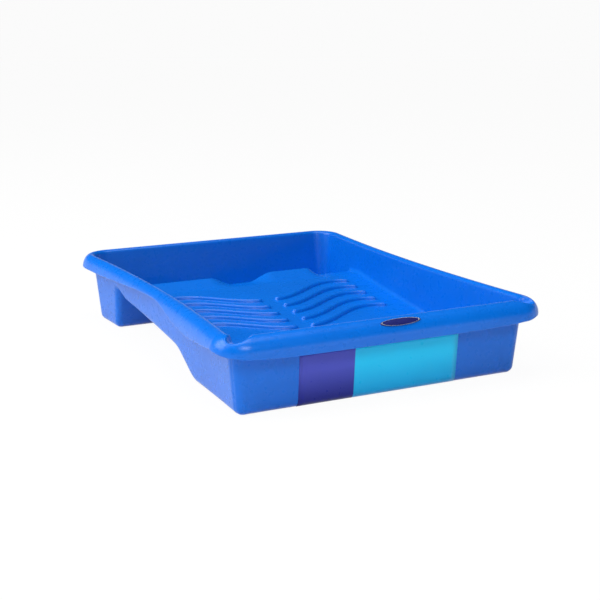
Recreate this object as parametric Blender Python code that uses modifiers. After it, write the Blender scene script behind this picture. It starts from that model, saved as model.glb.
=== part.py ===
"""Paint roller tray: one moulded shell with a ribbed ramp, a printed label and an oval rim badge.

Metres, +Z up. +Y runs from the deep paint well at the front to the trough at the back.
The origin is at the bottom centre of the tray.
"""
import bpy
import bmesh
from math import acos, asin, atan, atan2, cos, exp, pi, radians, sin, tan

MM = 0.001

# Rim, measured along the crest of its roll
RIM_LENGTH = 377.8 * MM
RIM_WIDTH = 289.2 * MM
RIM_HEIGHT = 68.6 * MM
RIM_WAIST = 9.6 * MM
BASE_WAIST = 6.0 * MM
CREST_RADIUS = 4.0 * MM
FRONT_OVERHANG = 12.3 * MM
BACK_OVERHANG = 8.5 * MM
FRONT_CORNER = 16.0 * MM
BACK_CORNER = 24.0 * MM

# Flange: how far its lower edge hangs under the crest, and where along the side
FRONT_DROP = 18.6 * MM
CORNER_DROP = 10.3 * MM
CORNER_LIFT = 2.2 * MM
CORNER_FADE = 20.0 * MM
SIDE_DROP = 17.4 * MM
SIDE_DEEPEST = 82.0 * MM
GRIP_DROP = 5.6 * MM
GRIP_CENTRE = 175.0 * MM
BACK_DROP = 11.5 * MM
BACK_END = 330.0 * MM
ROLL_HEIGHT = 14.0 * MM
SKIRT_LEAST = 0.8 * MM

# Pour spouts at the two front corners
SPOUT_DEPTH = 4.0 * MM
SPOUT_LEFT = -4.6 * MM
SPOUT_LOW = 2.0 * MM
SPOUT_SLOPE = 0.3
SPOUT_ROUND = 1.2 * MM

# Walls
WALL = 1.8 * MM
SIDE_DRAFT = tan(radians(6.3))
FRONT_DRAFT = tan(radians(4.5))
BACK_DRAFT = tan(radians(10.0))
FLOOR_FILLET = 5.0 * MM

# Floor, as runs from front to back and heights of its upper face; the ramp takes the length that is left
WELL_LENGTH = 112.5 * MM
SLOPE_RUN = 35.9 * MM
RAMP_LOW = 22.5 * MM
RAMP_HIGH = 37.0 * MM
LIP_RUN = 19.9 * MM
LIP_HEIGHT = 45.8 * MM
LEDGE_RUN = 21.9 * MM
LEDGE_HEIGHT = 35.4 * MM
RISER_RUN = 7.8 * MM
TROUGH_LENGTH = 65.3 * MM
WELL_FILLET = 31.0 * MM
RAMP_FILLET = 42.0 * MM
CREASE_FILLET = 8.0 * MM
LIP_FILLET = 3.0 * MM
TROUGH_FILLET = 7.0 * MM

# Lips along the top of the ramp, as distances from the middle
LIP_GAP_FOOT = 9.0 * MM
LIP_GAP_TOP = 35.0 * MM
RIGHT_LIP_TOP = 78.5 * MM
RIGHT_LIP_FOOT = 91.5 * MM

# Ribs on the ramp, two mirrored groups
RIB_COUNT = 5
RIB_RADIUS = 3.2 * MM
RIB_INNER = 6.6 * MM
RIB_OUTER = 106.0 * MM
RIB_TOP_MARGIN = 16.6 * MM
RIB_FOOT_MARGIN = 6.7 * MM
RIB_RISE = 32.5 * MM
RIB_HALF_WAVE = 79.0 * MM
RIB_END_TAPER = 0.5

# Label on the front wall
LABEL_LEFT = -81.6 * MM
LABEL_RIGHT = 70.2 * MM
LABEL_UNDER_FLANGE = 4.0 * MM
LABEL_THICK = 0.25 * MM
LABEL_WRAP = radians(62)

# Badge on the front roll
BADGE_CENTRE = 5.0 * MM
BADGE_LENGTH = 38.5 * MM
BADGE_HEIGHT = 6.4 * MM
BADGE_THICK = 0.9 * MM
BADGE_TURN = radians(40)

# Fits and mesh counts
SEAT_GAP = 0.3 * MM
CORNER_STEPS = 4
ROLL_STEPS = 4
CREST_STEPS = 2
FILLET_STEPS = 2
BEND_STEPS = 3
LONGEST_ROW = 26.0 * MM
RIB_POINTS = 12
BADGE_RINGS = 3
BADGE_SPOKES = 28
WELD = 0.01 * MM

# The bottom centre of the box is the origin
FRONT_Y = FRONT_OVERHANG - (RIM_LENGTH + FRONT_OVERHANG + BACK_OVERHANG) / 2
BACK_Y = FRONT_Y + RIM_LENGTH
MIDDLE_Y = (FRONT_Y + BACK_Y) / 2
HALF_WIDTH = RIM_WIDTH / 2

# Places along the floor, as distances back from the front crest
RAMP_START = WELL_LENGTH + SLOPE_RUN
TROUGH_START = RIM_LENGTH - TROUGH_LENGTH
LEDGE_BACK = TROUGH_START - RISER_RUN
RAMP_END = LEDGE_BACK - LEDGE_RUN
LIP_BACK = RAMP_END + LIP_RUN
RIB_TOP_INNER = RAMP_END - RIB_TOP_MARGIN - RIB_RISE
RIB_PITCH = (RIB_TOP_INNER - RAMP_START - RIB_FOOT_MARGIN) / (RIB_COUNT - 1)

# The spout ends where its corner does, and leaves the roll at its own depth
SPOUT_RIGHT = FRONT_CORNER * sin(pi / 4)
SPOUT_EDGE = FRONT_OVERHANG * (1 - (1 - SPOUT_DEPTH / ROLL_HEIGHT) ** 2) ** 0.5

# Heights that follow from the wall and the rim
FLOOR = WALL
LABEL_TOP = RIM_HEIGHT - FRONT_DROP - LABEL_UNDER_FLANGE


def clear_scene():
    for old in list(bpy.data.objects):
        bpy.data.objects.remove(old, do_unlink=True)


def new_collection(name):
    made = bpy.data.collections.new(name)
    bpy.context.scene.collection.children.link(made)
    return made


def plastic(name, colour, roughness):
    made = bpy.data.materials.new(name)
    made.use_nodes = True
    shader = made.node_tree.nodes["Principled BSDF"]
    shader.inputs["Base Color"].default_value = (*colour, 1.0)
    shader.inputs["Roughness"].default_value = roughness
    shader.inputs["Metallic"].default_value = 0.0
    return made


def new_object(name, mesh_maker, collection, material):
    mesh = bpy.data.meshes.new(name)
    bm = bmesh.new()
    mesh_maker(bm)
    bmesh.ops.recalc_face_normals(bm, faces=bm.faces)
    bm.to_mesh(mesh)
    bm.free()
    made = bpy.data.objects.new(name, mesh)
    mesh.materials.append(material)
    mesh.shade_smooth()
    collection.objects.link(made)
    return made


def ease(t):
    """Goes from 0 to 1 with a flat start and a flat end."""
    t = min(max(t, 0.0), 1.0)
    return t * t * (3.0 - 2.0 * t)


def mix(a, b, t):
    return a + (b - a) * t


def bent_line(corners):
    """Points along a line of straight runs; each corner is (y, z, radius), and its arc has BEND_STEPS."""
    points = []
    for index, (y, z, radius) in enumerate(corners):
        if radius == 0:
            points.append((y, z))
            continue
        before, after = corners[index - 1], corners[index + 1]
        into = ((y - before[0]), (z - before[1]))
        out = ((after[0] - y), (after[1] - z))
        size_in = (into[0] ** 2 + into[1] ** 2) ** 0.5
        size_out = (out[0] ** 2 + out[1] ** 2) ** 0.5
        into = (into[0] / size_in, into[1] / size_in)
        out = (out[0] / size_out, out[1] / size_out)
        cross = into[0] * out[1] - into[1] * out[0]
        turn = asin(min(max(cross, -1.0), 1.0))
        if into[0] * out[0] + into[1] * out[1] < 0:
            turn = (pi if turn > 0 else -pi) - turn
        reach = radius * abs(tan(turn / 2))
        side = 1 if turn > 0 else -1
        start = (y - into[0] * reach, z - into[1] * reach)
        centre = (start[0] - into[1] * radius * side, start[1] + into[0] * radius * side)
        for step in range(BEND_STEPS + 1):
            angle = turn * step / BEND_STEPS
            arm = (start[0] - centre[0], start[1] - centre[1])
            points.append((
                centre[0] + arm[0] * cos(angle) - arm[1] * sin(angle),
                centre[1] + arm[0] * sin(angle) + arm[1] * cos(angle),
            ))
    return points


def floor_profile(top_y, top_z):
    """The floor from well to trough, seen from the side, over a lip or over the plain ledge."""
    return bent_line((
        (FRONT_CORNER, FLOOR, 0),
        (WELL_LENGTH, FLOOR, WELL_FILLET),
        (RAMP_START, RAMP_LOW, RAMP_FILLET),
        (RAMP_END, RAMP_HIGH, CREASE_FILLET),
        (top_y, top_z, LIP_FILLET),
        (TROUGH_START, FLOOR, TROUGH_FILLET),
        (RIM_LENGTH - BACK_CORNER, FLOOR, 0),
    ))


def floor_rows():
    """Matching (ledge, lip) points for each row of the floor; long straight runs get rows between."""
    ledge = floor_profile(LEDGE_BACK, LEDGE_HEIGHT)
    lip = floor_profile(LIP_BACK, LIP_HEIGHT)
    rows = [(ledge[0], lip[0])]
    for index in range(1, len(ledge)):
        run = ledge[index][0] - ledge[index - 1][0]
        parts = max(1, round(run / LONGEST_ROW))
        for part in range(1, parts + 1):
            share = part / parts
            rows.append(tuple(
                (mix(line[index - 1][0], line[index][0], share), mix(line[index - 1][1], line[index][1], share))
                for line in (ledge, lip)
            ))
    return rows


def lip_share(x):
    """1 where a lip stands, 0 on the plain ledge: the left lip reaches its wall, the right one stops short."""
    share = ease((abs(x) - LIP_GAP_FOOT) / (LIP_GAP_TOP - LIP_GAP_FOOT))
    if x > RIGHT_LIP_TOP:
        share *= max(0.0, 1 - (x - RIGHT_LIP_TOP) / (RIGHT_LIP_FOOT - RIGHT_LIP_TOP))
    return share


def row_point(row, x):
    ledge, lip = row
    share = lip_share(x)
    return mix(ledge[0], lip[0], share), mix(ledge[1], lip[1], share)


def side_drop(y):
    """How far the flange hangs along a side: it rises at the front corner and again at the hand grip."""
    if y < SIDE_DEEPEST:
        return mix(CORNER_DROP, SIDE_DROP, ease(y / SIDE_DEEPEST))
    if y < GRIP_CENTRE:
        return mix(SIDE_DROP, GRIP_DROP, ease((y - SIDE_DEEPEST) / (GRIP_CENTRE - SIDE_DEEPEST)))
    return mix(GRIP_DROP, BACK_DROP, ease((y - GRIP_CENTRE) / (BACK_END - GRIP_CENTRE)))


def front_drop(x):
    """How far the flange hangs along the front: deepest in the middle."""
    from_corner = max(0.0, HALF_WIDTH - FRONT_CORNER - abs(x))
    return FRONT_DROP - CORNER_LIFT * exp(-from_corner / CORNER_FADE)


def spout_share(corner_share, out):
    """How much of the spout's depth is cut at a place round a front corner, from side (0) to front (1).

    The cut runs out along the corner's diagonal. It falls steeply at the side rim, like a quarter of an
    oval, and rises slowly to the front rim.
    """
    across = (FRONT_CORNER + out) * sin(pi / 2 * corner_share - pi / 4)
    if across < SPOUT_LOW:
        from_low = min(1.0, (SPOUT_LOW - across) / (SPOUT_LOW - SPOUT_LEFT))
        return (1 - from_low ** 2) ** 0.5
    return 1 - min(1.0, (across - SPOUT_LOW) / (SPOUT_RIGHT - SPOUT_LOW)) ** 2


def rim_top(out, fall, corner_share):
    """Height of the rim's top at a distance outside the crest: the roll, or the spout scooped out of it."""
    roll = RIM_HEIGHT - fall
    depth = SPOUT_DEPTH + SPOUT_SLOPE * (SPOUT_EDGE - out)
    scoop = RIM_HEIGHT + SPOUT_ROUND - (depth + SPOUT_ROUND) * spout_share(corner_share, out)
    near = max(0.0, 1 - abs(roll - scoop) / SPOUT_ROUND)
    return min(roll, scoop) - near * near * SPOUT_ROUND / 4


def wall_section(overhang, drop, corner_share, draft, floor_z, tilt=0.0):
    """(inset from the crest, shift back, height) from the floor's edge up the wall and down the flange.

    The fillet at the foot of the wall stands square to the floor, which leans back by tilt.
    """
    lean = atan(draft)
    crest = rim_top(0.0, 0.0, corner_share)
    centre_z = floor_z + FLOOR_FILLET * cos(tilt)
    centre_in = CREST_RADIUS + (crest - CREST_RADIUS - centre_z) * draft + FLOOR_FILLET / cos(lean)
    section = []
    for step in range(FILLET_STEPS + 1):
        angle = (pi / 2 - lean) * step / FILLET_STEPS
        off_floor = FLOOR_FILLET * (1 - cos(angle))
        section.append((
            centre_in - FLOOR_FILLET * sin(angle),
            off_floor * sin(tilt),
            floor_z + off_floor * cos(tilt),
        ))
    for step in range(CREST_STEPS + 1):
        angle = (pi / 2 - lean) * (1 - step / CREST_STEPS)
        section.append((CREST_RADIUS * sin(angle), 0.0, crest - CREST_RADIUS * (1 - cos(angle))))
    roll_end = acos(max(0.0, 1 - drop / ROLL_HEIGHT))
    for step in range(1, ROLL_STEPS + 1):
        share = step / ROLL_STEPS
        fall = ROLL_HEIGHT * (1 - cos(roll_end * share))
        out = overhang * sin(roll_end * share)
        section.append((-out, 0.0, rim_top(out, fall, corner_share)))
    section.append((-overhang * sin(roll_end), 0.0, RIM_HEIGHT - max(drop, fall + SKIRT_LEAST)))
    return section


def waisted(x, y, z):
    """Draws the sides in towards the middle of the length."""
    along = (y - MIDDLE_Y) / (RIM_LENGTH / 2)
    waist = mix(BASE_WAIST, RIM_WAIST, z / RIM_HEIGHT)
    return x * (1 - waist / HALF_WIDTH * max(0.0, 1 - along * along)), y, z


def floor_tilt(before, here, after):
    """How far the floor's face leans back from level, between two of its straight runs."""
    into = atan2(here[1] - before[1], here[0] - before[0])
    out = atan2(after[1] - here[1], after[0] - here[0])
    return -(into + out) / 2


def side_ring(sign, rows, number):
    places = [row_point(row, sign * HALF_WIDTH) for row in rows]
    y, floor_z = places[number]
    tilt = floor_tilt(*places[number - 1:number + 2]) if 0 < number < len(rows) - 1 else 0.0
    overhang = mix(FRONT_OVERHANG, BACK_OVERHANG, y / RIM_LENGTH)
    section = wall_section(overhang, side_drop(y), 0.0, SIDE_DRAFT, floor_z, tilt)
    return [waisted(sign * (HALF_WIDTH - inset), FRONT_Y + y + shift, z) for inset, shift, z in section]


def end_ring(front, corner_share, sign, x=None):
    """A section of the front or back wall, or of a corner: corner_share 0 is at the side, 1 at the end wall."""
    radius = FRONT_CORNER if front else BACK_CORNER
    draft = FRONT_DRAFT if front else BACK_DRAFT
    overhang = FRONT_OVERHANG if front else BACK_OVERHANG
    spout_at = corner_share if front else 0.0
    drop = BACK_DROP
    if front:
        drop = mix(side_drop(FRONT_CORNER), front_drop(HALF_WIDTH if x is None else x), ease(corner_share))
    along_side = wall_section(overhang, drop, spout_at, SIDE_DRAFT, FLOOR)
    along_end = wall_section(overhang, drop, spout_at, draft, FLOOR)
    turn = pi / 2 * corner_share
    ring = []
    for (side_in, _, side_z), (end_in, _, end_z) in zip(along_side, along_end):
        arc = radius - end_in
        reach = HALF_WIDTH - side_in - arc
        px = sign * (reach + arc * cos(turn)) if x is None else x
        back_by = radius - arc * sin(turn)
        py = FRONT_Y + back_by if front else BACK_Y - back_by
        ring.append(waisted(px, py, mix(side_z, end_z, corner_share)))
    return ring


def column_places():
    """Places across the floor where the lips start, stop and bend, with a few between."""
    right = [
        LIP_GAP_FOOT,
        (LIP_GAP_FOOT + LIP_GAP_TOP) / 2,
        LIP_GAP_TOP,
        (LIP_GAP_TOP + RIGHT_LIP_TOP) / 2,
        RIGHT_LIP_TOP,
        RIGHT_LIP_FOOT,
    ]
    return [-x for x in reversed(right)] + [0.0] + right


def shell_surface(bm):
    """The upper face of the tray: a floor grid whose edge is carried up the walls and over the rim."""
    rows = floor_rows()
    inner = column_places()
    corner = CORNER_STEPS
    columns = len(inner) + 1 + 2 * corner
    lines = len(rows) - 1 + 2 * corner

    def edge_ring(i, j):
        """The wall section above one vertex on the edge of the floor grid."""
        sign = -1 if i < columns / 2 else 1
        front = j < lines / 2
        from_end = j if front else lines - j
        from_side = i if sign < 0 else columns - i
        if from_side == 0 and from_end >= corner:
            return side_ring(sign, rows, j - corner)
        if from_end == 0 and from_side > corner:
            return end_ring(front, 1.0, sign, inner[i - corner - 1])
        if from_end == 0:
            return end_ring(front, 0.5 + 0.5 * from_side / corner, sign)
        return end_ring(front, 0.5 - 0.5 * from_end / corner, sign)

    around = [(i, 0) for i in range(columns)]
    around += [(columns, j) for j in range(lines)]
    around += [(i, lines) for i in range(columns, 0, -1)]
    around += [(0, j) for j in range(lines, 0, -1)]
    rings = {place: edge_ring(*place) for place in around}
    floor = {place: bm.verts.new(ring[0]) for place, ring in rings.items()}

    corner_width = floor[corner, 0].co.x - floor[0, 0].co.x

    def across(i, j):
        if i <= corner:
            return floor[0, j].co.x + corner_width * i / corner
        if i >= columns - corner:
            return floor[columns, j].co.x - corner_width * (columns - i) / corner
        return inner[i - corner - 1]

    for i in range(1, columns):
        for j in range(1, lines):
            x = across(i, j)
            if corner <= j <= lines - corner:
                y, z = row_point(rows[j - corner], x)
                floor[i, j] = bm.verts.new((x, FRONT_Y + y, z))
                continue
            front = j < corner
            end_y = floor[i, 0 if front else lines].co.y
            row_y = FRONT_Y + (FRONT_CORNER if front else RIM_LENGTH - BACK_CORNER)
            corner_y = floor[0, 0 if front else lines].co.y
            share = (floor[0, j].co.y - corner_y) / (row_y - corner_y)
            floor[i, j] = bm.verts.new((x, mix(end_y, row_y, share), FLOOR))

    for i in range(columns):
        for j in range(lines):
            bm.faces.new((floor[i, j], floor[i + 1, j], floor[i + 1, j + 1], floor[i, j + 1]))
    levels = len(rings[0, 0])
    below = [floor[place] for place in around]
    for level in range(1, levels):
        above = [bm.verts.new(rings[place][level]) for place in around]
        for index in range(len(around)):
            after = (index + 1) % len(around)
            bm.faces.new((below[index], above[index], above[after], below[after]))
        below = above


def floor_height(y):
    """Height of the floor's upper face at a distance back from the front crest."""
    line = floor_profile(LEDGE_BACK, LEDGE_HEIGHT)
    for before, after in zip(line, line[1:]):
        if y <= after[0]:
            break
    return mix(before[1], after[1], (y - before[0]) / (after[0] - before[0]))


def rib_tool(sign, number, collection):
    """One rounded rib, swept along its wave up the ramp and sunk half way into the wall."""
    curve = bpy.data.curves.new(f"rib_path_{number}", "CURVE")
    curve.dimensions = "3D"
    curve.bevel_depth = RIB_RADIUS
    curve.bevel_resolution = 1
    curve.use_fill_caps = True
    spline = curve.splines.new("POLY")
    spline.points.add(RIB_POINTS - 1)
    for index, point in enumerate(spline.points):
        share = index / (RIB_POINTS - 1)
        x = mix(RIB_INNER, RIB_OUTER, share)
        rise = RIB_RISE * (1 - cos(pi * (x - RIB_INNER) / RIB_HALF_WAVE)) / 2
        y = RIB_TOP_INNER - RIB_PITCH * number + rise
        point.co = (sign * x, FRONT_Y + y, floor_height(y), 1)
        point.radius = RIB_END_TAPER if index in (0, RIB_POINTS - 1) else 1.0
    path = bpy.data.objects.new(curve.name, curve)
    collection.objects.link(path)
    bpy.context.view_layer.update()
    mesh = bpy.data.meshes.new_from_object(path.evaluated_get(bpy.context.evaluated_depsgraph_get()))
    bpy.data.objects.remove(path, do_unlink=True)
    bm = bmesh.new()
    bm.from_mesh(mesh)
    bmesh.ops.remove_doubles(bm, verts=bm.verts, dist=WELD)
    for vert in bm.verts:
        vert.co.z = max(vert.co.z, floor_height(vert.co.y - FRONT_Y) - WALL / 2)
    bmesh.ops.recalc_face_normals(bm, faces=bm.faces)
    bm.to_mesh(mesh)
    bm.free()
    side = "left" if sign < 0 else "right"
    tool = bpy.data.objects.new(f"rib_{side}_{number + 1}", mesh)
    tool.hide_render = True
    tool.display_type = "WIRE"
    collection.objects.link(tool)


def thicken(piece, thickness, outwards):
    shell = piece.modifiers.new("Thickness", "SOLIDIFY")
    shell.thickness = thickness
    shell.offset = 1.0 if outwards else -1.0
    shell.use_even_offset = True
    shell.use_quality_normals = True


def front_outer_section():
    """(inset, height) down the outer face of the front wall and round its foot, clear of it by SEAT_GAP."""
    stand_off = WALL + SEAT_GAP
    lean = atan(FRONT_DRAFT)
    centre_z = FLOOR + FLOOR_FILLET
    centre_in = CREST_RADIUS + (RIM_HEIGHT - CREST_RADIUS - centre_z) * FRONT_DRAFT + FLOOR_FILLET / cos(lean)
    radius = FLOOR_FILLET + stand_off
    points = []
    foot_in = centre_in - radius * cos(lean)
    foot_z = centre_z - radius * sin(lean)
    points.append((foot_in - (LABEL_TOP - foot_z) * FRONT_DRAFT, LABEL_TOP))
    for step in range(2 * BEND_STEPS + 1):
        angle = lean + LABEL_WRAP * step / (2 * BEND_STEPS)
        points.append((centre_in - radius * cos(angle), centre_z - radius * sin(angle)))
    return points


def label_surface(bm):
    left, right = (
        [bm.verts.new((x, FRONT_Y + inset, z)) for inset, z in front_outer_section()]
        for x in (LABEL_LEFT, LABEL_RIGHT)
    )
    for index in range(len(left) - 1):
        bm.faces.new((left[index], left[index + 1], right[index + 1], right[index]))


def roll_point(turn, out):
    """(y, z) on the front roll at an angle from the crest, out above its surface."""
    flat = (FRONT_OVERHANG * cos(turn), ROLL_HEIGHT * sin(turn))
    size = (flat[0] ** 2 + flat[1] ** 2) ** 0.5
    y = FRONT_Y - FRONT_OVERHANG * sin(turn) - out * flat[1] / size
    z = RIM_HEIGHT - ROLL_HEIGHT * (1 - cos(turn)) + out * flat[0] / size
    return y, z


def badge_surface(bm):
    """An oval patch of the roll, lifted clear of it by SEAT_GAP."""
    mean_radius = (FRONT_OVERHANG + ROLL_HEIGHT) / 2
    bmesh.ops.create_circle(bm, cap_ends=True, cap_tris=True, segments=BADGE_SPOKES, radius=1.0)
    spokes = [edge for edge in bm.edges if not edge.is_boundary]
    bmesh.ops.subdivide_edges(bm, edges=spokes, cuts=BADGE_RINGS - 1)
    for vert in bm.verts:
        turn = BADGE_TURN - vert.co.y * BADGE_HEIGHT / 2 / mean_radius
        y, z = roll_point(turn, SEAT_GAP)
        vert.co = (BADGE_CENTRE + vert.co.x * BADGE_LENGTH / 2, y, z)


clear_scene()
parts = new_collection("paint_roller_tray")
tools = new_collection("rib_tools")

for mirror in (-1, 1):
    for rib in range(RIB_COUNT):
        rib_tool(mirror, rib, tools)

blue = plastic("blue_polypropylene", (0.0, 0.16, 0.75), 0.35)
tray = new_object("tray_body", shell_surface, parts, blue)
thicken(tray, WALL, outwards=False)
join = tray.modifiers.new("Ribs", "BOOLEAN")
join.operation = "UNION"
join.operand_type = "COLLECTION"
join.collection = tools
join.solver = "EXACT"

film = plastic("printed_film", (0.02, 0.42, 0.70), 0.4)
label = new_object("front_label", label_surface, parts, film)
thicken(label, LABEL_THICK, outwards=True)

navy = plastic("navy_badge", (0.01, 0.02, 0.18), 0.25)
badge = new_object("rim_badge", badge_surface, parts, navy)
thicken(badge, BADGE_THICK, outwards=True)
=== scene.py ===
"""Paint roller tray on a white studio floor: a moulded blue shell, a printed label and an oval rim badge."""
from math import acos, atan, atan2, cos, exp, hypot, pi, radians, sin, tan

import bpy
import numpy as np
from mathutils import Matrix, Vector


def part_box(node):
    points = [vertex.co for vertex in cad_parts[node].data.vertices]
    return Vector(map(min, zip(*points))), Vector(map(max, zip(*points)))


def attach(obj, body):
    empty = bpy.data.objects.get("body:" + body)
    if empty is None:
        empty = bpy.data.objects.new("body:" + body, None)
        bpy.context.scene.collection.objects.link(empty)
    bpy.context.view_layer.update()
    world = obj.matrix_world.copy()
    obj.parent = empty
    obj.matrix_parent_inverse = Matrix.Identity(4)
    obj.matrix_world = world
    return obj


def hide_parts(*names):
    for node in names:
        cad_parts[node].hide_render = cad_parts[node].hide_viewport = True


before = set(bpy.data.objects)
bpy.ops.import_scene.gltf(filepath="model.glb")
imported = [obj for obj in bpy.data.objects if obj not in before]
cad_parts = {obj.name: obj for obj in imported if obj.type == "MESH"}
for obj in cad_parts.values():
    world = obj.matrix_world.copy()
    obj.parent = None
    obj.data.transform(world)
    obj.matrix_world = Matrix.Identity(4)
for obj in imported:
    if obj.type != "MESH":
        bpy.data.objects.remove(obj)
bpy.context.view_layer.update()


# Tray shell
# The tray is one injection moulding of blue polypropylene with a satin skin. A single wall forms the paint
# well, the ribbed ramp with its lips, the rear trough and foot, and the rim, which rolls over and ends in a
# hanging flange.
MM = 0.001
tray_low, tray_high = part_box("tray_body")
rim_height = tray_high.z
wall = 1.8 * MM
edge_round = wall / 2

front_overhang = 12.3 * MM
back_overhang = 8.5 * MM
front_y = tray_low.y + front_overhang
back_y = tray_high.y - back_overhang
rim_length = back_y - front_y
middle_y = (front_y + back_y) / 2
half_width = 144.45 * MM
rim_waist = 9.6 * MM
base_waist = 6.0 * MM
front_corner = 16.0 * MM
back_corner = 24.0 * MM

front_drop_depth = 18.6 * MM
corner_drop = 10.3 * MM
corner_lift = 2.2 * MM
corner_fade = 20.0 * MM
side_drop_depth = 17.4 * MM
side_deepest = 82.0 * MM
grip_drop = 5.6 * MM
grip_centre = 175.0 * MM
back_drop = 11.5 * MM
back_end = 330.0 * MM
roll_height = 14.0 * MM
skirt_least = 0.8 * MM

spout_depth = 4.0 * MM
spout_left = -4.6 * MM
spout_low = 2.0 * MM
spout_run_out = 3.6 * MM
spout_right = front_corner * sin(pi / 4) + spout_run_out
spout_slope = 0.3
spout_round = 1.2 * MM
spout_edge = front_overhang * (1 - (1 - spout_depth / roll_height) ** 2) ** 0.5

side_draft = tan(radians(6.3))
front_draft = tan(radians(4.5))
back_draft = tan(radians(10.0))
crest_radius = 4.0 * MM
floor_fillet = 5.0 * MM
floor_top = wall

well_length = 112.5 * MM
slope_run = 35.9 * MM
ledge_run = 21.9 * MM
riser_run = 7.8 * MM
trough_length = 65.3 * MM
lip_run = 19.9 * MM
ramp_start = well_length + slope_run
trough_start = rim_length - trough_length
ledge_back = trough_start - riser_run
ramp_end = ledge_back - ledge_run
lip_back = ramp_end + lip_run
ramp_low = 22.5 * MM
ramp_high = 37.0 * MM
ledge_height = 35.4 * MM
lip_height = 45.8 * MM
well_fillet = 31.0 * MM
ramp_fillet = 42.0 * MM
crease_fillet = 8.0 * MM
lip_fillet = 3.0 * MM
trough_fillet = 7.0 * MM
lip_gap_foot = 9.0 * MM
lip_gap_top = 35.0 * MM
right_lip_top = 78.5 * MM
right_lip_foot = 91.5 * MM

rib_count = 5
rib_radius = 3.2 * MM
rib_inner = 6.6 * MM
rib_outer = 106.0 * MM
rib_rise = 32.5 * MM
rib_half_wave = 79.0 * MM
rib_top_margin = 16.6 * MM
rib_foot_margin = 6.7 * MM
rib_top_inner = ramp_end - rib_top_margin - rib_rise
rib_pitch = (rib_top_inner - ramp_start - rib_foot_margin) / (rib_count - 1)


def ease(t):
    """Goes from 0 to 1 with a flat start and a flat end."""
    t = min(max(t, 0.0), 1.0)
    return t * t * (3.0 - 2.0 * t)


def mix(a, b, t):
    return a + (b - a) * t


def bent_line(corners, steps):
    """Points along straight runs joined by arcs; each corner is (y, z, radius)."""
    points = []
    for index, (y, z, radius) in enumerate(corners):
        if radius == 0:
            points.append((y, z))
            continue
        before, after = corners[index - 1], corners[index + 1]
        heading_in = atan2(z - before[1], y - before[0])
        turn = atan2(after[1] - z, after[0] - y) - heading_in
        reach = radius * abs(tan(turn / 2))
        start_y, start_z = y - reach * cos(heading_in), z - reach * sin(heading_in)
        for step in range(steps + 1):
            part = turn * step / steps
            chord = 2 * radius * sin(abs(part) / 2)
            points.append((
                start_y + chord * cos(heading_in + part / 2),
                start_z + chord * sin(heading_in + part / 2),
            ))
    return points


def floor_profile(top_y, top_z, steps):
    """The floor from well to trough, seen from the side, over a lip or over the plain ledge."""
    return bent_line((
        (front_corner, floor_top, 0),
        (well_length, floor_top, well_fillet),
        (ramp_start, ramp_low, ramp_fillet),
        (ramp_end, ramp_high, crease_fillet),
        (top_y, top_z, lip_fillet),
        (trough_start, floor_top, trough_fillet),
        (rim_length - back_corner, floor_top, 0),
    ), steps)


bend_steps = 8
fine_bend_steps = 60
ledge_line = floor_profile(ledge_back, ledge_height, bend_steps)
lip_line = floor_profile(lip_back, lip_height, bend_steps)
fine_line = np.array(floor_profile(ledge_back, ledge_height, fine_bend_steps))


def floor_height(y):
    return float(np.interp(y, fine_line[:, 0], fine_line[:, 1]))


def lip_share(x):
    """1 where a lip stands, 0 on the plain ledge: only the left lip reaches its wall."""
    share = ease((abs(x) - lip_gap_foot) / (lip_gap_top - lip_gap_foot))
    if x > right_lip_top:
        share *= max(0.0, 1 - (x - right_lip_top) / (right_lip_foot - right_lip_top))
    return share


def rib_wave(x):
    """How far back a rib has swung at x, and the cosine of its slope there."""
    along = min(max(abs(x) - rib_inner, 0.0), rib_outer - rib_inner)
    turn = pi * along / rib_half_wave
    inside = rib_inner < abs(x) < rib_outer
    slope = rib_rise * pi / (2 * rib_half_wave) * sin(turn) if inside else 0.0
    return rib_rise * (1 - cos(turn)) / 2, 1 / hypot(1, slope)


wave_start_gap = 6.0 * MM
wave_end_gap = 4.0 * MM
wave_low_from = well_length + wave_start_gap
wave_low_to = ramp_start - wave_end_gap
wave_high_from = rib_top_inner + wave_start_gap
wave_high_to = ramp_end - wave_end_gap
same_line = 0.01 * MM


def wave_share(y):
    """Rows of the floor follow the ribs fully between the ribs, and run straight further out."""
    up = (y - wave_low_from) / (wave_low_to - wave_low_from)
    down = (wave_high_to - y) / (wave_high_to - wave_high_from)
    return min(max(min(up, down), 0.0), 1.0)


def wave_row(y, beside=0.0):
    """A row of the floor up to the crease under the lips, beside a rib's middle line by a given distance."""

    def place(x):
        swing, cosine = rib_wave(x)
        share = wave_share(y)
        row_y = y + swing * share + beside / mix(1.0, cosine, share)
        end = max(0.0, rib_inner + rib_radius - abs(x), abs(x) - rib_outer + rib_radius)
        nearest_rib = rib_top_inner - rib_pitch * round((rib_top_inner - y) / rib_pitch)
        on_rib = abs(y - nearest_rib) < same_line
        room = rib_radius ** 2 - beside ** 2 - end ** 2
        in_group = rib_top_inner - rib_pitch * (rib_count - 0.5) < y < rib_top_inner + rib_pitch / 2
        rib = room ** 0.5 if on_rib and in_group and room > 0 else 0.0
        return row_y, floor_height(row_y), rib

    return place


def lip_row(ledge, lip):
    """A row of the floor over the lips, the ledge, the riser or the trough."""

    def place(x):
        share = lip_share(x)
        return mix(ledge[0], lip[0], share), mix(ledge[1], lip[1], share), 0.0

    return place


def spaced(start, end, longest):
    """Places from start up to, but not including, end."""
    count = max(1, round((end - start) / longest))
    return [mix(start, end, step / count) for step in range(count)]


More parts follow.
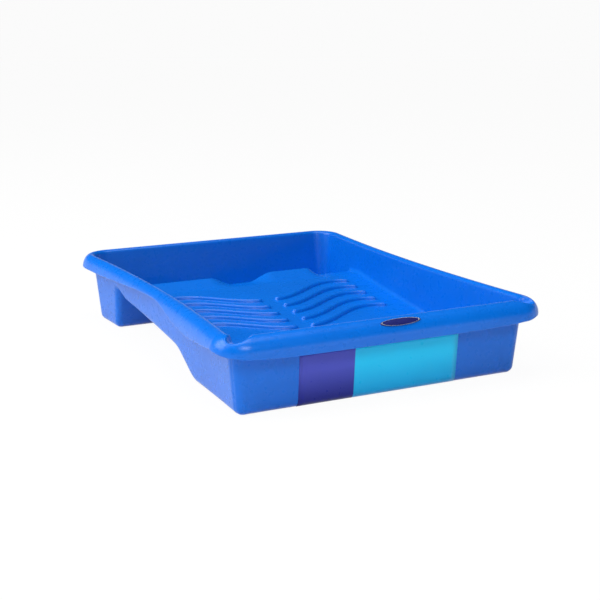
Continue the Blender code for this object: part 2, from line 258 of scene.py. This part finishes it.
rib_side_steps = 6
rib_offsets = [
    rib_radius * sin(pi / 2 * step / rib_side_steps) for step in range(-rib_side_steps, rib_side_steps + 1)
]
rib_middles = [rib_top_inner - rib_pitch * number for number in reversed(range(rib_count))]
first_row_gap = 1.0 * MM
rib_side_gap = 0.9 * MM
last_row_gap = 2.0 * MM
between_ribs = (0.39, 0.5, 0.61)
well_row = 5.0 * MM
slope_row = 2.2 * MM
crease_row = 3.5 * MM
slope_start = ledge_line[1][0]
first_rib_edge = rib_middles[0] - rib_radius - first_row_gap
floor_rows = [wave_row(y) for y in spaced(front_corner, slope_start, well_row)]
floor_rows += [wave_row(y) for y in spaced(slope_start, first_rib_edge, slope_row)]
for middle in rib_middles:
    floor_rows.append(wave_row(middle, -rib_radius - rib_side_gap))
    floor_rows += [wave_row(middle, offset) for offset in rib_offsets]
    floor_rows.append(wave_row(middle, rib_radius + rib_side_gap))
    if middle < rib_middles[-1]:
        floor_rows += [wave_row(middle + rib_pitch * share) for share in between_ribs]
floor_rows += [
    wave_row(y) for y in spaced(wave_high_from + last_row_gap, wave_high_to + last_row_gap, crease_row)
]
bend_points = bend_steps + 1
crease_point = 1 + 2 * bend_points
lip_point = crease_point + bend_points
trough_point = lip_point + bend_points
straight_steps = {lip_point: 4, trough_point: 9, len(ledge_line) - 1: 6}
for index in range(crease_point, len(ledge_line)):
    if index > crease_point:
        steps = straight_steps.get(index, 1)
        for step in range(1, steps):
            share = step / steps
            floor_rows.append(lip_row(*(
                tuple(np.add(np.multiply(line[index - 1], 1 - share), np.multiply(line[index], share)))
                for line in (ledge_line, lip_line)
            )))
    floor_rows.append(lip_row(ledge_line[index], lip_line[index]))


def side_drop(y):
    """How far the flange hangs along a side: it rises at the front corner and again at the hand grip."""
    if y < side_deepest:
        return mix(corner_drop, side_drop_depth, ease(y / side_deepest))
    if y < grip_centre:
        return mix(side_drop_depth, grip_drop, ease((y - side_deepest) / (grip_centre - side_deepest)))
    return mix(grip_drop, back_drop, ease((y - grip_centre) / (back_end - grip_centre)))


def front_drop(x):
    """How far the flange hangs along the front: deepest in the middle."""
    from_corner = max(0.0, half_width - front_corner - abs(x))
    return front_drop_depth - corner_lift * exp(-from_corner / corner_fade)


def spout_share(corner_share, out, past_corner):
    """How much of the spout's depth is cut at a place round a front corner, along the corner's diagonal."""
    across = (front_corner + out) * sin(pi / 2 * corner_share - pi / 4) + past_corner * sin(pi / 4)
    if across < spout_low:
        from_low = min(1.0, (spout_low - across) / (spout_low - spout_left))
        return (1 - from_low ** 2) ** 0.5
    return 1 - min(1.0, (across - spout_low) / (spout_right - spout_low)) ** 2


def rim_top(out, fall, corner_share, past_corner):
    """Height of the rim's top face outside the crest: the roll, or the spout scooped out of it."""
    roll = rim_height - fall
    depth = spout_depth + spout_slope * (spout_edge - out)
    scoop = rim_height + spout_round - (depth + spout_round) * spout_share(corner_share, out, past_corner)
    near = max(0.0, 1 - abs(roll - scoop) / spout_round)
    return min(roll, scoop) - near * near * spout_round / 4


fillet_steps = 7
wall_steps = 6
crest_steps = 7
roll_steps = 16
skirt_steps = 4


def wall_section(overhang, drop, draft, floor_z, tilt=0.0, corner_share=0.0, past_corner=0.0):
    """(inset, shift back, height) from the floor's edge up the wall, over the crest and down the flange."""
    lean = atan(draft)
    crest = rim_top(0.0, 0.0, corner_share, past_corner)
    centre_z = floor_z + floor_fillet * cos(tilt)
    centre_in = crest_radius + (crest - crest_radius - centre_z) * draft + floor_fillet / cos(lean)
    section = []
    for step in range(fillet_steps + 1):
        angle = (pi / 2 - lean) * step / fillet_steps
        off_floor = floor_fillet * (1 - cos(angle))
        section.append((
            centre_in - floor_fillet * sin(angle),
            off_floor * sin(tilt),
            floor_z + off_floor * cos(tilt),
        ))
    crest_points = []
    for step in range(crest_steps + 1):
        angle = (pi / 2 - lean) * (1 - step / crest_steps)
        crest_points.append((crest_radius * sin(angle), 0.0, crest - crest_radius * (1 - cos(angle))))
    foot, top = np.array(section[-1]), np.array(crest_points[0])
    section += [tuple(mix(foot, top, step / wall_steps)) for step in range(1, wall_steps)]
    section += crest_points
    roll_end = acos(max(0.0, 1 - drop / roll_height))
    for step in range(1, roll_steps + 1):
        share = step / roll_steps
        fall = roll_height * (1 - cos(roll_end * share))
        out = overhang * sin(roll_end * share)
        section.append((-out, 0.0, rim_top(out, fall, corner_share, past_corner)))
    skirt_end = rim_height - max(drop, fall + skirt_least) + edge_round / 2
    skirt_from = section[-1]
    for step in range(1, skirt_steps + 1):
        section.append((skirt_from[0], 0.0, mix(skirt_from[2], skirt_end, step / skirt_steps)))
    return section


def waisted(x, y, z):
    """Draws the sides in towards the middle of the length."""
    along = (y - middle_y) / (rim_length / 2)
    waist = mix(base_waist, rim_waist, z / rim_height)
    return x * (1 - waist / half_width * max(0.0, 1 - along * along)), y, z


def side_ring(sign, number):
    """The wall section at one end of a floor row."""
    places = [row(sign * half_width) for row in floor_rows[max(0, number - 1):number + 2]]
    y, floor_z, _ = places[1 if number else 0]
    tilt = 0.0
    if len(places) == 3:
        (y0, z0, _), (y1, z1, _), (y2, z2, _) = places
        tilt = -(atan2(z1 - z0, y1 - y0) + atan2(z2 - z1, y2 - y1)) / 2
    overhang = mix(front_overhang, back_overhang, y / rim_length)
    section = wall_section(overhang, side_drop(y), side_draft, floor_z, tilt)
    return [waisted(sign * (half_width - inset), front_y + y + shift, z) for inset, shift, z in section]


def end_ring(front, corner_share, sign, x=None, settled=1.0):
    """A section of an end wall or a corner: corner_share is 0 at the side and 1 at the end wall."""
    radius = front_corner if front else back_corner
    draft = front_draft if front else back_draft
    overhang = front_overhang if front else back_overhang
    spout_at = corner_share if front else 0.0
    past_corner = max(0.0, half_width - front_corner - abs(x)) if front and x is not None else 0.0
    drop = back_drop
    if front:
        drop = mix(side_drop(front_corner), front_drop(half_width if x is None else x), ease(corner_share))
    along_side = wall_section(overhang, drop, side_draft, floor_top, 0.0, spout_at, past_corner)
    along_end = wall_section(overhang, drop, draft, floor_top, 0.0, spout_at, past_corner)
    turn = pi / 2 * corner_share
    ring = []
    for (side_in, _, side_z), (end_in, _, end_z) in zip(along_side, along_end):
        arc = radius - end_in
        reach = half_width - side_in - arc
        px = sign * (reach + arc * cos(turn))
        if x is not None:
            px = x + sign * (reach - half_width + radius) * (1 - settled)
        back_by = radius - arc * sin(turn)
        py = front_y + back_by if front else back_y - back_by
        ring.append(waisted(px, py, mix(side_z, end_z, corner_share)))
    return ring


rib_end_count = 5
rib_ends = [rib_radius * (1 - cos(pi / 2 * step / rib_end_count)) for step in range(rib_end_count + 1)]
first_column = 2.5 * MM
rib_end_column = rib_inner - 0.8 * MM
gap_column = 2.0 * MM
rib_column = 2.9 * MM
outer_columns = (1.0 * MM, 3.0 * MM, 6.0 * MM, 8.5 * MM, 11.0 * MM)
right_columns = spaced(first_column, rib_end_column, gap_column) + [rib_end_column]
right_columns += [rib_inner + step for step in rib_ends]
right_columns += spaced(rib_inner + rib_radius + gap_column, rib_outer - rib_radius, rib_column)
right_columns += [rib_outer - step for step in reversed(rib_ends)]
right_columns += [rib_outer + step for step in outer_columns]
floor_columns = [-x for x in reversed(right_columns)] + [0.0] + right_columns
corner_steps = 22
arc_steps = 16
beside_columns = 1.5 * MM
last_i = len(floor_columns) + 1 + 2 * corner_steps
last_j = len(floor_rows) - 1 + 2 * corner_steps


def edge_ring(i, j):
    """The wall section that stands on one point of the floor's edge."""
    sign = -1 if i < last_i / 2 else 1
    front = j < last_j / 2
    from_end = j if front else last_j - j
    from_side = i if sign < 0 else last_i - i
    if from_side == 0 and from_end >= corner_steps:
        return side_ring(sign, j - corner_steps)
    if from_end == 0 and from_side > corner_steps:
        return end_ring(front, 1.0, sign, floor_columns[i - corner_steps - 1])
    if from_end == 0 and from_side > arc_steps:
        share = (from_side - arc_steps) / (corner_steps - arc_steps)
        corner_x = half_width - (front_corner if front else back_corner)
        x = sign * mix(corner_x, floor_columns[-1] + beside_columns, share)
        return end_ring(front, 1.0, sign, x, share)
    if from_end == 0:
        return end_ring(front, 0.5 + 0.5 * from_side / arc_steps, sign)
    return end_ring(front, 0.5 - 0.5 * from_end / corner_steps, sign)


around = [(i, 0) for i in range(last_i)]
around += [(last_i, j) for j in range(last_j)]
around += [(i, last_j) for i in range(last_i, 0, -1)]
around += [(0, j) for j in range(last_j, 0, -1)]
rings = np.array([edge_ring(*place) for place in around])
floor_points = np.zeros((last_i + 1, last_j + 1, 3))
rib_heights = np.zeros((last_i + 1, last_j + 1))
for place, ring in zip(around, rings):
    floor_points[place] = ring[0]

settle = 50.0 * MM
narrow = floor_points[corner_steps, 0, 0] - floor_points[0, 0, 0]
for j in range(corner_steps, last_j - corner_steps + 1):
    row = floor_rows[j - corner_steps]
    left_x, right_x = floor_points[0, j, 0], floor_points[last_i, j, 0]
    row_y = row(0.0)[0]
    from_end = min(row_y - front_corner, rim_length - back_corner - row_y)
    wide = (floor_columns[0] - left_x) * corner_steps / (corner_steps + 1)
    strip = mix(narrow, wide, ease(from_end / settle))
    for i in range(1, last_i):
        if i <= corner_steps:
            x = left_x + strip * i / corner_steps
        elif i >= last_i - corner_steps:
            x = right_x - strip * (last_i - i) / corner_steps
        else:
            x = floor_columns[i - corner_steps - 1]
        y, z, rib = row(x)
        floor_points[i, j] = (x, front_y + y, z)
        rib_heights[i, j] = rib


def fill_patch(i_from, i_to, j_from, j_to):
    """Spreads the points inside a four-sided patch of the floor evenly from its edges."""
    patch = floor_points[i_from:i_to + 1, j_from:j_to + 1]
    u = np.linspace(0, 1, patch.shape[0])[:, None, None]
    v = np.linspace(0, 1, patch.shape[1])[None, :, None]
    along = (1 - u) * patch[:1] + u * patch[-1:]
    across = (1 - v) * patch[:, :1] + v * patch[:, -1:]
    corners = (1 - u) * (1 - v) * patch[0, 0] + u * (1 - v) * patch[-1, 0]
    corners = corners + (1 - u) * v * patch[0, -1] + u * v * patch[-1, -1]
    patch[1:-1, 1:-1] = (along + across - corners)[1:-1, 1:-1]


for j_end, j_row in ((0, corner_steps), (last_j, last_j - corner_steps)):
    for i in (corner_steps, last_i - corner_steps):
        for j in range(1, corner_steps):
            share = j / corner_steps
            column_j = j if j_end == 0 else last_j - j
            floor_points[i, column_j] = mix(floor_points[i, j_end], floor_points[i, j_row], share)
    j_from, j_to = min(j_end, j_row), max(j_end, j_row)
    fill_patch(0, corner_steps, j_from, j_to)
    fill_patch(corner_steps, last_i - corner_steps, j_from, j_to)
    fill_patch(last_i - corner_steps, last_i, j_from, j_to)

floor_number = np.arange((last_i + 1) * (last_j + 1)).reshape(last_i + 1, last_j + 1)
quads = [np.stack((
    floor_number[:-1, :-1], floor_number[1:, :-1], floor_number[1:, 1:], floor_number[:-1, 1:],
), axis=-1).reshape(-1, 4)]
below = np.array([floor_number[place] for place in around])
count = floor_number.size
for level in range(1, rings.shape[1]):
    above = count + np.arange(len(around))
    quads.append(np.stack((below, above, np.roll(above, -1), np.roll(below, -1)), axis=-1))
    below = above
    count += len(around)
quads = np.concatenate(quads)
plain_top = np.concatenate((floor_points.reshape(-1, 3), rings[:, 1:].transpose(1, 0, 2).reshape(-1, 3)))
lift = np.concatenate((rib_heights.reshape(-1), np.zeros(count - floor_number.size)))


def point_normals(points, faces):
    corner = points[faces]
    face_normal = np.cross(corner[:, 2] - corner[:, 0], corner[:, 3] - corner[:, 1])
    total = np.zeros_like(points)
    for place in range(4):
        np.add.at(total, faces[:, place], face_normal)
    return total / np.linalg.norm(total, axis=1, keepdims=True)


upper = plain_top + lift[:, None] * np.array((0.0, 0.0, 1.0))
lower = plain_top - wall * point_normals(plain_top, quads)
edge = count - len(around) + np.arange(len(around))
edge_out = upper[edge] - upper[edge - len(around)]
edge_out /= np.linalg.norm(edge_out, axis=1, keepdims=True)
edge_middle = (upper[edge] + lower[edge]) / 2
edge_strips = []
edge_steps = 6
for step in range(1, edge_steps):
    angle = pi * step / edge_steps
    arm = (upper[edge] - edge_middle) * cos(angle)
    edge_strips.append(edge_middle + arm + edge_out * edge_round * sin(angle))
tray_points = np.concatenate([upper, lower] + edge_strips)
first_strip = 2 * count + np.arange(len(around))
strip_numbers = [edge]
strip_numbers += [first_strip + strip * len(around) for strip in range(edge_steps - 1)]
strip_numbers.append(count + edge)
edge_quads = [
    np.stack((one, other, np.roll(other, -1), np.roll(one, -1)), axis=-1)
    for one, other in zip(strip_numbers, strip_numbers[1:])
]
tray_faces = np.concatenate([quads, count + quads[:, ::-1]] + edge_quads)


def smooth_piece(name, points, faces):
    """A smooth-shaded mesh object."""
    mesh = bpy.data.meshes.new(name)
    mesh.from_pydata([tuple(p) for p in points], [], [tuple(int(n) for n in f) for f in faces])
    mesh.validate()
    mesh.shade_smooth()
    piece = bpy.data.objects.new(name, mesh)
    bpy.context.scene.collection.objects.link(piece)
    return piece


def new_finish(name, colour, roughness):
    """A Principled material, with its node tree, its shader and the piece's own coordinates."""
    finish = bpy.data.materials.new(name)
    finish.use_nodes = True
    tree = finish.node_tree
    shader = tree.nodes["Principled BSDF"]
    shader.inputs["Base Color"].default_value = (*colour, 1.0)
    shader.inputs["Roughness"].default_value = roughness
    place = tree.nodes.new("ShaderNodeTexCoord").outputs["Object"]
    return finish, tree, shader, place


def noise(tree, place, scale, detail):
    node = tree.nodes.new("ShaderNodeTexNoise")
    node.inputs["Scale"].default_value = scale
    node.inputs["Detail"].default_value = detail
    tree.links.new(place, node.inputs["Vector"])
    return node.outputs["Fac"]


def spread(tree, value, low, high, noise_low=0.3, noise_high=0.7):
    """Maps the middle of a noise to a range of values."""
    node = tree.nodes.new("ShaderNodeMapRange")
    node.inputs["From Min"].default_value = noise_low
    node.inputs["From Max"].default_value = noise_high
    node.inputs["To Min"].default_value = low
    node.inputs["To Max"].default_value = high
    tree.links.new(value, node.inputs["Value"])
    return node.outputs["Result"]


def blend_colours(tree, value, low, high):
    node = tree.nodes.new("ShaderNodeMix")
    node.data_type = "RGBA"
    node.inputs["A"].default_value = (*low, 1.0)
    node.inputs["B"].default_value = (*high, 1.0)
    tree.links.new(value, node.inputs["Factor"])
    return node.outputs["Result"]


def bump(tree, shader, height, strength, distance):
    node = tree.nodes.new("ShaderNodeBump")
    node.inputs["Strength"].default_value = strength
    node.inputs["Distance"].default_value = distance
    tree.links.new(height, node.inputs["Height"])
    tree.links.new(node.outputs["Normal"], shader.inputs["Normal"])


tray_blue = (0.0, 0.143, 0.650)
tray_blue_deep = (0.0, 0.133, 0.620)
plastic, plastic_tree, plastic_shader, plastic_place = new_finish("satin_blue_plastic", tray_blue, 0.34)
plastic_shader.inputs["Specular IOR Level"].default_value = 0.30
mottle = spread(plastic_tree, noise(plastic_tree, plastic_place, scale=28.0, detail=3.0), low=0.0, high=1.0)
plastic_colour = blend_colours(plastic_tree, mottle, tray_blue_deep, tray_blue)
plastic_tree.links.new(plastic_colour, plastic_shader.inputs["Base Color"])
haze = spread(plastic_tree, noise(plastic_tree, plastic_place, scale=160.0, detail=4.0), low=0.26, high=0.31)
plastic_tree.links.new(haze, plastic_shader.inputs["Roughness"])
grain = noise(plastic_tree, plastic_place, scale=1400.0, detail=2.0)
bump(plastic_tree, plastic_shader, grain, strength=0.03, distance=0.1 * MM)

tray = smooth_piece("tray_shell", tray_points, tray_faces)
tray.data.materials.append(plastic)
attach(tray, "root")
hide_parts("tray_body")


# Front label
# The label is a printed self-adhesive film, stuck on the front wall from under the flange down round the
# foot of the wall. Its print is two plain fields of colour; each field is painted darker towards the foot of
# the label, as painted shade.
label_low, label_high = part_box("front_label")
label_left, label_right = label_low.x, label_high.x
label_top = label_high.z
label_field_edge = -30.4 * MM
film = 0.2 * MM
glue = 0.05 * MM
label_wrap = radians(62)
label_wall_steps = 12
label_arc_steps = 14
label_column = 6.0 * MM

front_lean = atan(front_draft)
foot_centre_z = floor_top + floor_fillet
foot_centre_in = crest_radius + (rim_height - crest_radius - foot_centre_z) * front_draft
foot_centre_in += floor_fillet / cos(front_lean)


def label_line(stand_off):
    """(inset, height) down the front wall and round its foot, at a distance off the wall's outer face."""
    radius = floor_fillet + wall + stand_off
    foot_in = foot_centre_in - radius * cos(front_lean)
    foot_z = foot_centre_z - radius * sin(front_lean)
    line = []
    for step in range(label_wall_steps):
        z = mix(label_top, foot_z, step / label_wall_steps)
        line.append((foot_in - (z - foot_z) * front_draft, z))
    for step in range(label_arc_steps + 1):
        angle = front_lean + label_wrap * step / label_arc_steps
        line.append((foot_centre_in - radius * cos(angle), foot_centre_z - radius * sin(angle)))
    return line


label_columns = spaced(label_left, label_right, label_column) + [label_right]
label_points = []
for stand_off in (glue + film, glue):
    for x in label_columns:
        label_points += [(x, front_y + inset, z) for inset, z in label_line(stand_off)]
line_size = len(label_line(glue))
sheet_size = line_size * len(label_columns)
label_number = np.arange(sheet_size).reshape(len(label_columns), line_size)
front_sheet = np.stack((
    label_number[:-1, :-1], label_number[:-1, 1:], label_number[1:, 1:], label_number[1:, :-1],
), axis=-1).reshape(-1, 4)
border = np.concatenate((
    label_number[0, :-1], label_number[:-1, -1], label_number[-1, :0:-1], label_number[:0:-1, 0],
))
border_next = np.roll(border, -1)
border_faces = np.stack((border, sheet_size + border, sheet_size + border_next, border_next), axis=-1)
label_faces = np.concatenate((front_sheet, sheet_size + front_sheet[:, ::-1], border_faces))
label = smooth_piece("printed_label", label_points, label_faces)

# The two darker colours are the purple and the teal in painted shade, used towards the foot of the label.
purple = (0.060, 0.075, 0.480)
purple_in_painted_shade = (0.000, 0.006, 0.220)
sky_teal = (0.005, 0.555, 0.890)
teal_in_painted_shade = (0.000, 0.410, 0.820)
film_finish, film_tree, film_shader, film_place = new_finish("printed_film", sky_teal, 0.30)
film_shader.inputs["Specular IOR Level"].default_value = 0.25
split = film_tree.nodes.new("ShaderNodeSeparateXYZ")
film_tree.links.new(film_place, split.inputs["Vector"])


def step_over(tree, value, start, end):
    """Goes from 0 to 1 as a value goes from start to end."""
    node = tree.nodes.new("ShaderNodeMapRange")
    node.inputs["From Min"].default_value = start
    node.inputs["From Max"].default_value = end
    tree.links.new(value, node.inputs["Value"])
    return node.outputs["Result"]


# Painted shade: each field darkens from 30 mm down to 2 mm above the floor, towards the foot of the label.
painted_shade_bottom = 2.0 * MM
painted_shade_top = 30.0 * MM
field_blur = 0.15 * MM
above_painted_shade = step_over(film_tree, split.outputs["Z"], painted_shade_bottom, painted_shade_top)
purple_field = blend_colours(film_tree, above_painted_shade, purple_in_painted_shade, purple)
teal_field = blend_colours(film_tree, above_painted_shade, teal_in_painted_shade, sky_teal)
in_teal = step_over(
    film_tree, split.outputs["X"], label_field_edge - field_blur, label_field_edge + field_blur,
)
fields = film_tree.nodes.new("ShaderNodeMix")
fields.data_type = "RGBA"
film_tree.links.new(in_teal, fields.inputs["Factor"])
film_tree.links.new(purple_field, fields.inputs["A"])
film_tree.links.new(teal_field, fields.inputs["B"])
film_tree.links.new(fields.outputs["Result"], film_shader.inputs["Base Color"])
film_haze = spread(film_tree, noise(film_tree, film_place, scale=220.0, detail=3.0), low=0.27, high=0.36)
film_tree.links.new(film_haze, film_shader.inputs["Roughness"])
film_ripple = noise(film_tree, film_place, scale=60.0, detail=2.0)
bump(film_tree, film_shader, film_ripple, strength=0.10, distance=0.2 * MM)
label.data.materials.append(film_finish)
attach(label, "root")
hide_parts("front_label")


# Rim badge
# The badge is a small oval plate of dark glossy plastic with a thin bright edge line, pressed into a shallow
# seat on the front of the rim's roll.
badge_low, badge_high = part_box("rim_badge")
badge_centre = (badge_low.x + badge_high.x) / 2
badge_half_length = (badge_high.x - badge_low.x) / 2
badge_half_height = 3.5 * MM
badge_turn = radians(38)
badge_thick = 0.9 * MM
badge_seat = 0.25 * MM
badge_sunk = 0.2 * MM
badge_back_reach = 0.90
shoulder_reach = 0.97
shoulder_height = badge_thick * 0.7
shoulder_steps = 4
roll_mean = (front_overhang + roll_height) / 2
badge_rings = 14
badge_spokes = 96


def roll_place(x, down, out):
    """A point on the front roll, down its face from the badge's middle and out above its skin."""
    turn = badge_turn + down / roll_mean
    flat = (front_overhang * cos(turn), roll_height * sin(turn))
    size = hypot(*flat)
    y = front_y - front_overhang * sin(turn) - out * flat[1] / size
    z = rim_height - roll_height * (1 - cos(turn)) + out * flat[0] / size
    return x, y, z


def badge_oval(reach, out):
    """A loop of points round the badge, at a share of its size and a distance off the roll."""
    return [
        roll_place(
            badge_centre + badge_half_length * reach * cos(2 * pi * spoke / badge_spokes),
            -badge_half_height * reach * sin(2 * pi * spoke / badge_spokes),
            out,
        )
        for spoke in range(badge_spokes)
    ]


def oval_strips(loops):
    """Faces between neighbouring loops of badge points."""
    faces = []
    for loop in range(loops - 1):
        for spoke in range(badge_spokes):
            after = (spoke + 1) % badge_spokes
            base = loop * badge_spokes
            faces.append((
                base + spoke, base + after, base + badge_spokes + after, base + badge_spokes + spoke,
            ))
    return faces


badge_loops = [(badge_back_reach, -badge_sunk), (1.0, -badge_sunk), (1.0, badge_seat)]
for step in range(1, shoulder_steps + 1):
    angle = pi / 2 * step / shoulder_steps
    badge_loops.append((mix(shoulder_reach, 1.0, cos(angle)), mix(badge_seat, shoulder_height, sin(angle))))
for step in range(1, badge_rings):
    inward = step / badge_rings
    badge_loops.append((shoulder_reach * (1 - inward), mix(shoulder_height, badge_thick, ease(inward * 2))))
badge_points = [point for reach, out in badge_loops for point in badge_oval(reach, out)]
badge_faces = oval_strips(len(badge_loops))
last_loop = (len(badge_loops) - 1) * badge_spokes
badge_faces.append(tuple(last_loop + spoke for spoke in range(badge_spokes)))
badge_faces.append(tuple(reversed(range(badge_spokes))))
badge = smooth_piece("oval_badge", badge_points, badge_faces)

badge_navy = (0.018, 0.022, 0.160)
badge_ink = (0.010, 0.013, 0.110)
badge_finish, badge_tree, badge_shader, badge_place = new_finish("badge_navy_gloss", badge_navy, 0.2)
badge_mottle = noise(badge_tree, badge_place, scale=260.0, detail=2.0)
badge_colour = blend_colours(badge_tree, badge_mottle, badge_ink, badge_navy)
badge_tree.links.new(badge_colour, badge_shader.inputs["Base Color"])
badge_haze = spread(badge_tree, noise(badge_tree, badge_place, scale=500.0, detail=2.0), low=0.16, high=0.24)
badge_tree.links.new(badge_haze, badge_shader.inputs["Roughness"])
badge.data.materials.append(badge_finish)
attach(badge, "root")
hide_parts("rim_badge")

line_outer = 0.93
line_inner = line_outer - 0.028
line_foot = badge_thick * 0.55
line_top = badge_thick + 0.06 * MM
line_loops = [
    (line_inner, line_foot), (line_inner, line_top), (line_outer, line_top), (line_outer, line_foot),
]
line_points = [point for reach, out in line_loops for point in badge_oval(reach, out)]
line_faces = oval_strips(len(line_loops))
last_line_loop = (len(line_loops) - 1) * badge_spokes
for spoke in range(badge_spokes):
    after = (spoke + 1) % badge_spokes
    line_faces.append((last_line_loop + spoke, last_line_loop + after, after, spoke))
badge_line = smooth_piece("badge_edge_line", line_points, [tuple(reversed(f)) for f in line_faces])
silver_grey = (0.62, 0.64, 0.68)
silver, silver_tree, silver_shader, silver_place = new_finish("badge_silver_line", silver_grey, 0.28)
silver_shader.inputs["Metallic"].default_value = 0.8
silver_haze = spread(
    silver_tree, noise(silver_tree, silver_place, scale=900.0, detail=2.0), low=0.22, high=0.34,
)
silver_tree.links.new(silver_haze, silver_shader.inputs["Roughness"])
badge_line.data.materials.append(silver)
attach(badge_line, "root")


# Studio
# The tray stands on a white floor inside a low round white backdrop. A large soft lamp on the left and one
# overhead light it, a small one picks out the front corner, and a low card fills the front under the rim.
floor_drop = 0.2 * MM
studio_radius = 7.0
backdrop_height = 1.2
studio_sides = 64
studio_points = []
for height in (-floor_drop, backdrop_height):
    for side in range(studio_sides):
        turn = 2 * pi * side / studio_sides
        studio_points.append((studio_radius * cos(turn), studio_radius * sin(turn), height))
studio_faces = [tuple(range(studio_sides))]
for side in range(studio_sides):
    after = (side + 1) % studio_sides
    studio_faces.append((after, side, studio_sides + side, studio_sides + after))
stage_mesh = bpy.data.meshes.new("studio_floor")
stage_mesh.from_pydata(studio_points, [], studio_faces)
studio_floor = bpy.data.objects.new("studio_floor", stage_mesh)
bpy.context.scene.collection.objects.link(studio_floor)
paper_white = (0.92, 0.92, 0.92)
paper, paper_tree, paper_shader, _ = new_finish("white_paper", paper_white, 0.9)
paper_shader.inputs["Specular IOR Level"].default_value = 0.0
rays = paper_tree.nodes.new("ShaderNodeLightPath")
seen = paper_tree.nodes.new("ShaderNodeMath")
seen.operation = "MAXIMUM"
paper_tree.links.new(rays.outputs["Is Camera Ray"], seen.inputs[0])
seen_in_gloss = paper_tree.nodes.new("ShaderNodeMath")
seen_in_gloss.operation = "MAXIMUM"
paper_tree.links.new(rays.outputs["Is Glossy Ray"], seen_in_gloss.inputs[0])
paper_tree.links.new(rays.outputs["Is Transmission Ray"], seen_in_gloss.inputs[1])
paper_tree.links.new(seen_in_gloss.outputs[0], seen.inputs[1])
plain_white_share = 0.96
paper_share = paper_tree.nodes.new("ShaderNodeMath")
paper_share.operation = "MULTIPLY"
paper_share.inputs[1].default_value = plain_white_share
paper_tree.links.new(seen.outputs[0], paper_share.inputs[0])
glow = paper_tree.nodes.new("ShaderNodeEmission")
glow.inputs["Strength"].default_value = 1.0
paper_mix = paper_tree.nodes.new("ShaderNodeMixShader")
paper_tree.links.new(paper_share.outputs[0], paper_mix.inputs["Fac"])
paper_tree.links.new(paper_shader.outputs["BSDF"], paper_mix.inputs[1])
paper_tree.links.new(glow.outputs["Emission"], paper_mix.inputs[2])
paper_tree.links.new(paper_mix.outputs["Shader"], paper_tree.nodes["Material Output"].inputs["Surface"])
stage_mesh.materials.append(paper)

world = bpy.data.worlds.new("studio_air")
world.use_nodes = True
air_tree = world.node_tree
air = air_tree.nodes["Background"]
air.inputs["Color"].default_value = (1.0, 1.0, 1.0, 1.0)
air_up = air_tree.nodes.new("ShaderNodeSeparateXYZ")
air_tree.links.new(air_tree.nodes.new("ShaderNodeTexCoord").outputs["Generated"], air_up.inputs["Vector"])
air_fade = air_tree.nodes.new("ShaderNodeMapRange")
air_fade.interpolation_type = "SMOOTHSTEP"
air_fade.inputs["From Min"].default_value = 0.35
air_fade.inputs["From Max"].default_value = 0.75
air_fade.inputs["To Min"].default_value = 0.04
air_fade.inputs["To Max"].default_value = 0.06
air_tree.links.new(air_up.outputs["Z"], air_fade.inputs["Value"])
air_tree.links.new(air_fade.outputs["Result"], air.inputs["Strength"])
bpy.context.scene.world = world


def soft_lamp(name, towards, distance, width, height, energy):
    """A soft lamp in a direction from the tray, turned to face it."""
    light = bpy.data.lights.new(name, "AREA")
    light.shape = "RECTANGLE"
    light.size = width
    light.size_y = height
    light.energy = energy
    lamp = bpy.data.objects.new(name, light)
    lamp_from = Vector(towards).normalized()
    lamp.location = lamp_from * distance
    lamp.rotation_euler = (-lamp_from).to_track_quat("-Z", "Y").to_euler()
    bpy.context.scene.collection.objects.link(lamp)


soft_lamp("key_lamp", (-0.74, 0.17, 0.65), distance=1.9, width=1.6, height=1.6, energy=42.0)
soft_lamp("top_lamp", (0.0, -0.08, 1.0), distance=1.9, width=1.2, height=1.2, energy=20.5)
soft_lamp("front_lamp", (-0.14, -0.66, 0.43), distance=0.82, width=0.30, height=0.16, energy=1.5)
soft_lamp("front_card", (0.10, -0.65, 0.055), distance=0.652, width=0.5, height=0.09, energy=0.15)

view_yaw = radians(26.918)
view_pitch = radians(13.661)
view_left = 0.49509
view_before = 0.81207
view_height = 0.3128
picture_side = 600
half_pixel = 0.5 / picture_side
camera_data = bpy.data.cameras.new("camera")
camera_data.sensor_width = 36.0
camera_data.lens = 71.59
camera_data.shift_x = -half_pixel
camera_data.shift_y = half_pixel
camera = bpy.data.objects.new("camera", camera_data)
camera.location = (-view_left, front_y - view_before, view_height)
view_line = Vector((sin(view_yaw) * cos(view_pitch), cos(view_yaw) * cos(view_pitch), -sin(view_pitch)))
camera.rotation_euler = view_line.to_track_quat("-Z", "Y").to_euler()
bpy.context.scene.collection.objects.link(camera)
bpy.context.scene.camera = camera
bpy.context.scene.view_settings.view_transform = "Standard"
